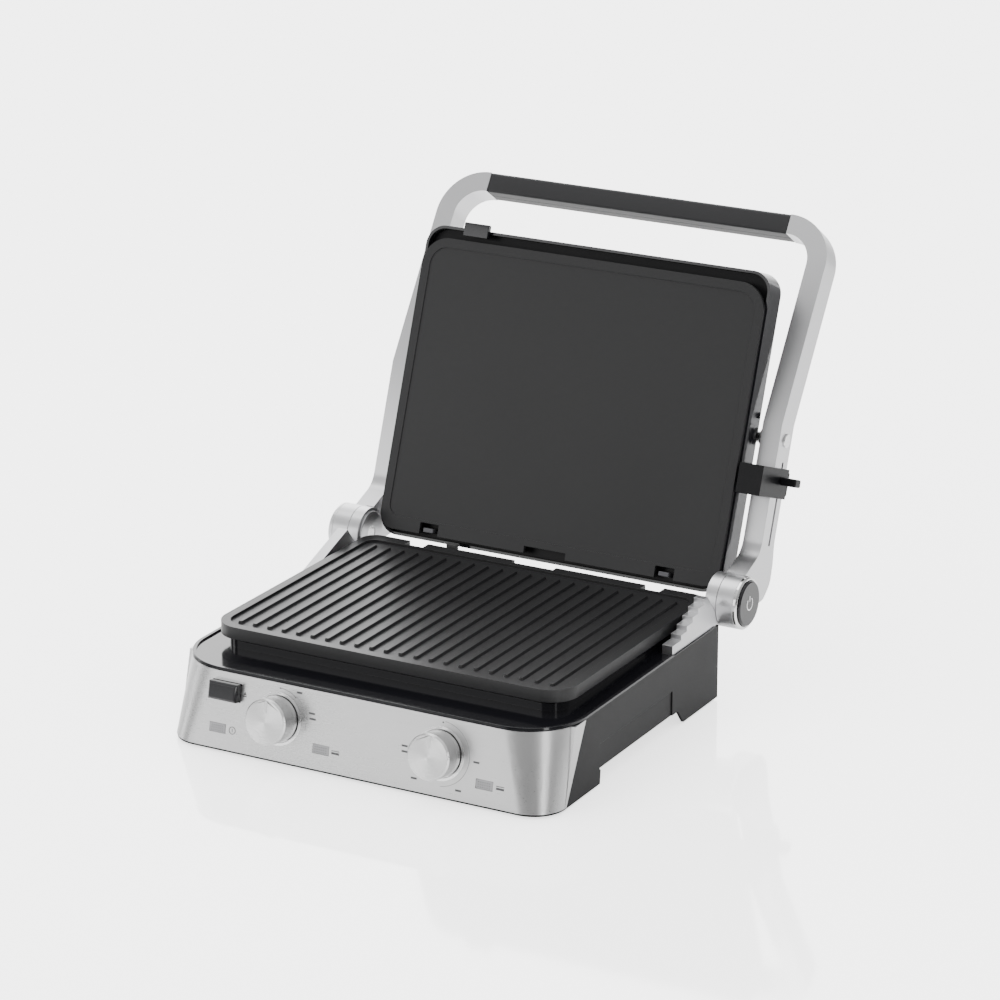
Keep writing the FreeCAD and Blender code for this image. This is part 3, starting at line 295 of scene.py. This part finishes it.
def make_finishes():
    across = (1, 30, 30)
    return {
        "brushed_front": textured("brushed_front", (0.60, 0.60, 0.60), 0.30, 1.0, across, 5, 60,
                                  0.10, 0.07, 0.22, 0.0001),
        "brushed_cover": textured("brushed_cover", (0.55, 0.55, 0.56), 0.33, 1.0, (1, 25, 25), 4, 60,
                                  0.08, 0.06, 0.2, 0.0001),
        "satin_casting": textured("satin_casting", (0.66, 0.66, 0.67), 0.34, 1.0, (1, 1, 1), 9, 900,
                                  0.05, 0.05, 0.12, 0.0001),
        "polished_metal": textured("polished_metal", (0.82, 0.82, 0.82), 0.10, 1.0, (1, 1, 1), 20, 700,
                                   0.03, 0.03, 0.03, 0.0001),
        "black_shell": textured("black_shell", (0.0035, 0.0035, 0.004), 0.34, 0.0, (1, 1, 1), 12, 1100,
                                0.15, 0.05, 0.12, 0.0002, gloss=0.15),
        "piano_black": textured("piano_black", (0.004, 0.004, 0.005), 0.12, 0.0, (1, 1, 1), 6, 500,
                                0.2, 0.03, 0.01, 0.0001, 0.3, 0.4),
        "plate_coating": textured("plate_coating", (0.009, 0.009, 0.0095), 0.34, 0.0, (1, 1, 1), 16,
                                  1300, 0.12, 0.05, 0.22, 0.0002, gloss=0.35),
        "lid_coating": textured("lid_coating", (0.010, 0.010, 0.0105), 0.42, 0.0, (1, 1, 1), 10, 1300,
                                0.10, 0.05, 0.22, 0.0002, gloss=0.3),
        "grip_black": textured("grip_black", (0.010, 0.010, 0.011), 0.46, 0.0, (1, 1, 1), 15, 1400,
                               0.15, 0.05, 0.3, 0.0002, gloss=0.35),
        "foot_rubber": textured("foot_rubber", (0.02, 0.02, 0.02), 0.75, 0.0, (1, 1, 1), 30, 900,
                                0.2, 0.08, 0.4, 0.0003),
        "frosted_lens": textured("frosted_lens", (0.22, 0.22, 0.225), 0.40, 0.0, (1, 1, 1), 60, 1500,
                                 0.08, 0.05, 0.15, 0.0001),
        "lamp_body": textured("lamp_body", (0.7, 0.68, 0.62), 0.5, 0.0, (1, 1, 1), 30, 900, 0.06),
        "heater_steel": textured("heater_steel", (0.16, 0.15, 0.14), 0.42, 1.0, (1, 1, 1), 25, 700,
                                 0.25, 0.1, 0.2, 0.0002),
        "shield_steel": textured("shield_steel", (0.55, 0.55, 0.55), 0.25, 1.0, (12, 1, 1), 8, 60,
                                 0.08, 0.06, 0.1, 0.0001),
        "dark_catch": textured("dark_catch", (0.06, 0.06, 0.065), 0.35, 0.6, (1, 1, 1), 25, 900, 0.15),
        "panel_ink": textured("panel_ink", (0.05, 0.05, 0.052), 0.5, 0.0, (1, 1, 1), 60, 1200, 0.1),
        "pale_ink": textured("pale_ink", (0.75, 0.75, 0.76), 0.5, 0.0, (1, 1, 1), 60, 1200, 0.1),
    }


# ---- pieces ----

WELD_REACH = 0.00002
FLAT_ANGLE = math.radians(0.8)
EDGE_ANGLE = math.radians(28)


def add_object(name, mesh, body, material):
    piece = bpy.data.objects.new(name, mesh)
    bpy.context.scene.collection.objects.link(piece)
    mesh.materials.clear()
    mesh.materials.append(material)
    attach(piece, body)
    return piece


def made_mesh(helper):
    """The mesh that a helper's modifiers make, with the helper gone afterwards."""
    bpy.context.view_layer.update()
    depsgraph = bpy.context.evaluated_depsgraph_get()
    mesh = bpy.data.meshes.new_from_object(helper.evaluated_get(depsgraph))
    bpy.data.objects.remove(helper)
    return mesh


def body_with(node):
    return next(name for name, nodes in frame["record"]["behaviour"]["bodies"].items()
                if node in nodes)


def finish_edges(node, material, width):
    """The made version of a CAD piece: welded, with its edges rounded and its faces smooth."""
    source = frame["nodes"][node]
    mesh = source.data.copy()
    shape = bmesh.new()
    shape.from_mesh(mesh)
    bmesh.ops.remove_doubles(shape, verts=shape.verts, dist=WELD_REACH)
    bmesh.ops.dissolve_limit(shape, angle_limit=FLAT_ANGLE, verts=shape.verts, edges=shape.edges)
    for face in shape.faces:
        face.smooth = True
    shape.to_mesh(mesh)
    shape.free()
    for name in [a.name for a in mesh.attributes if a.name in ("custom_normal", "sharp_face")]:
        mesh.attributes.remove(mesh.attributes[name])
    helper = bpy.data.objects.new("helper", mesh)
    bpy.context.scene.collection.objects.link(helper)
    bevel = helper.modifiers.new("edges", "BEVEL")
    bevel.width = width
    bevel.segments = 2
    bevel.limit_method = "ANGLE"
    bevel.angle_limit = EDGE_ANGLE
    bevel.miter_outer = "MITER_ARC"
    bevel.use_clamp_overlap = True
    bevel.harden_normals = True
    ready = made_mesh(helper)
    piece = add_object(node + "_made", ready, body_with(node), material)
    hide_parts(node)


def paint(node, material):
    for holder in frame["nodes"][node].material_slots:
        holder.material = material


SURFACE = surface_group()
FINISH = make_finishes()

ROUNDED = (
    ("base_shell", "black_shell", 0.0008), ("deck_tray", "piano_black", 0.0007),
    ("front_panel", "brushed_front", 0.0003), ("stair_bracket", "satin_casting", 0.0005),
    ("hinge_bracket", "satin_casting", 0.0005), ("hub_covers", "satin_casting", 0.0010),
    ("right_arm", "satin_casting", 0.0012), ("left_arm", "satin_casting", 0.0012),
    ("grip_front", "grip_black", 0.0004), ("grip_rear", "grip_black", 0.0004),
    ("right_cap_ring", "polished_metal", 0.0003), ("left_cap", "satin_casting", 0.0004),
    ("hinge_button", "piano_black", 0.0004), ("tilt_pins", "polished_metal", 0.0012),
    ("stop_pins", "polished_metal", 0.0006), ("pivot_screws", "polished_metal", 0.0005),
    ("height_slider", "black_shell", 0.0010), ("slider_lever", "black_shell", 0.0015),
    ("slider_clip", "black_shell", 0.0005), ("lid_shell", "piano_black", 0.0012),
    ("lid_cover", "brushed_cover", 0.0005), ("lid_release", "piano_black", 0.0005),
    ("lid_hooks", "dark_catch", 0.0007), ("lower_hooks", "dark_catch", 0.0007),
    ("upper_plate", "lid_coating", 0.0008), ("lower_plate", "plate_coating", 0.0007),
    ("plate_button", "piano_black", 0.0005), ("dial_rings", "polished_metal", 0.0003),
    ("lamp_lenses", "frosted_lens", 0.0012), ("rubber_feet", "foot_rubber", 0.0008),
    ("lead_boot", "foot_rubber", 0.0010), ("cord_gland", "foot_rubber", 0.0012),
    ("drip_tray", "black_shell", 0.0008), ("lid_screws", "polished_metal", 0.0004),
    ("bottom_cover", "black_shell", 0.0008), ("bottom_screws", "polished_metal", 0.0003),
)
PLAIN = {
    "hinge_pins": "polished_metal", "grip_core": "shield_steel", "lower_element": "heater_steel",
    "lid_element": "heater_steel", "lower_reflector": "shield_steel",
    "lid_reflector": "shield_steel", "lid_bezel": "black_shell", "lamp_lights": "lamp_body",
    "left_thermostat": "lamp_body", "right_thermostat": "lamp_body", "thermal_fuse": "lamp_body",
    "lid_thermal_fuse": "lamp_body", "terminal_block": "lamp_body", "plate_latch": "dark_catch",
    "left_dial_shaft": "shield_steel", "right_dial_shaft": "shield_steel",
    "left_dial_pointer": "polished_metal", "right_dial_pointer": "polished_metal",
}


PANEL_LEAN = math.radians(11)


def middle_of(node):
    low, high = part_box(node)
    return (Vector(low) + Vector(high)) / 2


def make_dials():
    for side in ("left", "right"):
        node = side + "_dial"
        # The dial face material has a painted sheen in its colour, as well as turned rings in its
        # relief.
        face = turned_face_with_painted_sheen(side + "_dial_face_painted_sheen", (0.78, 0.78, 0.78), middle_of(node),
                           math.pi / 2 - PANEL_LEAN)
        finish_edges(node, face, 0.0004)


# ---- printed marks ----

INK_LIFT = 0.00006
DOT_REACH = 0.0252
SCALE_REACH = 0.0262
WORD_REACH = 0.0325
WORD_HEIGHT = 0.0016
POWER_X = -0.1137
PLATE_SYMBOLS_X = (-0.0167, 0.1334)
LAMPS_X = (-0.1276, -0.0302, 0.1192)
LENS_DOTS = {"Columns": 6, "Rows": 3, "Width": 0.0100, "Height": 0.0040, "Dot Radius": 0.0004}
LENS_FACE = 0.00055


def panel_frame():
    """The place and turn of the leaning front: local Z out of the steel, local Y up it."""
    low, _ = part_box("front_panel")
    turn = Matrix.Rotation(math.pi / 2 - PANEL_LEAN, 4, "X")
    return Matrix.Translation((0, low[1], low[2])) @ turn


def dot_field_tree():
    """Geometry nodes: a grid of small round dots."""
    tree = bpy.data.node_groups.new("dot_field", "GeometryNodeTree")
    make = tree.interface.new_socket
    make(name="Geometry", in_out="OUTPUT", socket_type="NodeSocketGeometry")
    for name, kind in (("Columns", "Int"), ("Rows", "Int"), ("Width", "Float"),
                       ("Height", "Float"), ("Dot Radius", "Float"), ("Material", "Material")):
        make(name=name, in_out="INPUT", socket_type="NodeSocket" + kind)
    nodes, link = tree.nodes, tree.links.new
    given = nodes.new("NodeGroupInput")
    grid = nodes.new("GeometryNodeMeshGrid")
    for source, target in (("Columns", "Vertices X"), ("Rows", "Vertices Y"), ("Width", "Size X"),
                           ("Height", "Size Y")):
        link(given.outputs[source], grid.inputs[target])
    dot = nodes.new("GeometryNodeMeshCylinder")
    dot.inputs["Vertices"].default_value = 12
    dot.inputs["Depth"].default_value = 2 * INK_LIFT
    link(given.outputs["Dot Radius"], dot.inputs["Radius"])
    spread = nodes.new("GeometryNodeInstanceOnPoints")
    link(grid.outputs["Mesh"], spread.inputs["Points"])
    link(dot.outputs["Mesh"], spread.inputs["Instance"])
    real = nodes.new("GeometryNodeRealizeInstances")
    link(spread.outputs["Instances"], real.inputs["Geometry"])
    color = nodes.new("GeometryNodeSetMaterial")
    link(real.outputs["Geometry"], color.inputs["Geometry"])
    link(given.outputs["Material"], color.inputs["Material"])
    result = nodes.new("NodeGroupOutput")
    link(color.outputs["Geometry"], result.inputs["Geometry"])
    return tree


def dot_field(name, tree, values, place, body, material):
    helper = bpy.data.objects.new("helper", bpy.data.meshes.new("helper"))
    bpy.context.scene.collection.objects.link(helper)
    nodes = helper.modifiers.new("dots", "NODES")
    nodes.node_group = tree
    sockets = {item.name: item.identifier for item in tree.interface.items_tree
               if item.in_out == "INPUT"}
    for label, number in (*values.items(), ("Material", material)):
        nodes[sockets[label]] = number
    mesh = made_mesh(helper)
    mesh.transform(place)
    add_object(name, mesh, body, material)


def flat_mark(name, outlines, place, body, material, thick=2 * INK_LIFT):
    """Thin printed shapes: each outline is extruded a hair above the surface."""
    shape = bmesh.new()
    for outline in outlines:
        face = shape.faces.new([shape.verts.new((x, y, -thick / 2)) for x, y in outline])
        grown = bmesh.ops.extrude_face_region(shape, geom=[face])
        bmesh.ops.translate(shape, vec=(0, 0, thick),
                            verts=[v for v in grown["geom"] if isinstance(v, bmesh.types.BMVert)])
    bmesh.ops.recalc_face_normals(shape, faces=shape.faces)
    mesh = bpy.data.meshes.new(name)
    shape.to_mesh(mesh)
    shape.free()
    mesh.transform(place)
    add_object(name, mesh, body, material)


def arc_band(centre, radius, width, start, stop, steps=40):
    """A curved band: angles run clockwise from twelve o'clock, in degrees."""
    angles = [math.radians(start + (stop - start) * step / steps) for step in range(steps + 1)]
    outer = [(centre[0] + (radius + width / 2) * math.sin(a),
              centre[1] + (radius + width / 2) * math.cos(a)) for a in angles]
    inner = [(centre[0] + (radius - width / 2) * math.sin(a),
              centre[1] + (radius - width / 2) * math.cos(a)) for a in reversed(angles)]
    return outer + inner


def bar(centre, width, height):
    x, y = centre
    return [(x - width / 2, y - height / 2), (x + width / 2, y - height / 2),
            (x + width / 2, y + height / 2), (x - width / 2, y + height / 2)]


def dot(centre, radius):
    return [(centre[0] + radius * math.cos(step * math.tau / 20),
             centre[1] + radius * math.sin(step * math.tau / 20)) for step in range(20)]


def local_place(node):
    """The middle of a node on the panel, in the panel's own X and Y."""
    spot = panel_frame().inverted() @ middle_of(node)
    return spot.x, spot.y


def around(centre, angle, reach):
    """A point beside a dial: the angle runs clockwise from twelve o'clock, in degrees."""
    turn = math.radians(angle)
    return centre[0] + reach * math.sin(turn), centre[1] + reach * math.cos(turn)


def dial_marks(left, right):
    """The dots over the dials, and a bar wherever a dial has a named setting."""
    marks = [dot(around(left, 0, DOT_REACH), 0.0007), dot(around(left, 36, DOT_REACH), 0.0006),
             arc_band(left, DOT_REACH, 0.00035, 2, 34), dot(around(right, 0, DOT_REACH), 0.0007),
             bar(around(left, 36, 0.0305), 0.0050, WORD_HEIGHT)]
    marks += [bar(around(left, angle, WORD_REACH), 0.0058, WORD_HEIGHT) for angle in (72, 80)]
    marks += [bar(around(right, angle, WORD_REACH), 0.0054, WORD_HEIGHT)
              for angle in (92, 145, 222, 262, 270)]
    return marks


def lift_mark():
    """A small arrow over a bar, beside the plate button."""
    button = local_place("plate_button")
    x, y = button[0] + 0.0175, button[1] - 0.0005
    return [[(x - 0.0016, y), (x + 0.0016, y), (x, y + 0.0026)], bar((x, y - 0.0010), 0.0032, 0.0008)]


def lamp_symbols(row):
    """A pair of bars for each plate's lamp, and a ring with a bar for the power lamp."""
    symbols = []
    for x in PLATE_SYMBOLS_X:
        symbols += [bar((x, row + 0.0012), 0.0072, 0.0006), bar((x, row - 0.0008), 0.0072, 0.0018)]
    power = (POWER_X, row)
    halves = [arc_band(power, 0.0029, 0.0006, start, start + 179) for start in (0, 180)]
    return symbols + halves + [bar(power, 0.0006, 0.0028)]


def print_panel():
    """Dial scales, a lift mark by the button and a symbol by each lamp."""
    left, right = local_place("left_dial"), local_place("right_dial")
    row = local_place("lamp_lenses")[1]
    front = panel_frame() @ Matrix.Translation((0, 0, INK_LIFT))
    marks = dial_marks(left, right) + lift_mark() + lamp_symbols(row)
    flat_mark("panel_marks", marks, front, "base", FINISH["panel_ink"])
    scales = [arc_band(left, SCALE_REACH, 0.0005, 38, 100), arc_band(right, SCALE_REACH, 0.0005, 4, 175)]
    flat_mark("dial_scales", scales, front, "base", FINISH["frosted_lens"])
    tree = dot_field_tree()
    for number, x in enumerate(LAMPS_X, 1):
        place = panel_frame() @ Matrix.Translation((x, row - 0.0001, LENS_FACE))
        dot_field("lamp_dots_%d" % number, tree, LENS_DOTS, place, "base",
                  FINISH["dark_catch"])


def mark_release():
    """A plain open ring with a short bar on the release button at the right hinge."""
    _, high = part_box("hinge_button")
    centre = middle_of("hinge_button")
    turn = Matrix.Rotation(math.pi / 2, 4, "Y") @ Matrix.Rotation(math.pi / 2, 4, "Z")
    place = Matrix.Translation((high[0] + INK_LIFT / 2, centre.y, centre.z)) @ turn
    symbol = [arc_band((0, 0), 0.0052, 0.0009, 40, 320), bar((0, 0.0045), 0.0009, 0.0050)]
    flat_mark("release_mark", symbol, place, "hinge_button", FINISH["pale_ink"], INK_LIFT)


set_camera()
light_studio()
lay_floor()
for node, finish, width in ROUNDED:
    finish_edges(node, FINISH[finish], width)
for node, finish in PLAIN.items():
    paint(node, FINISH[finish])
make_dials()
print_panel()
mark_release()
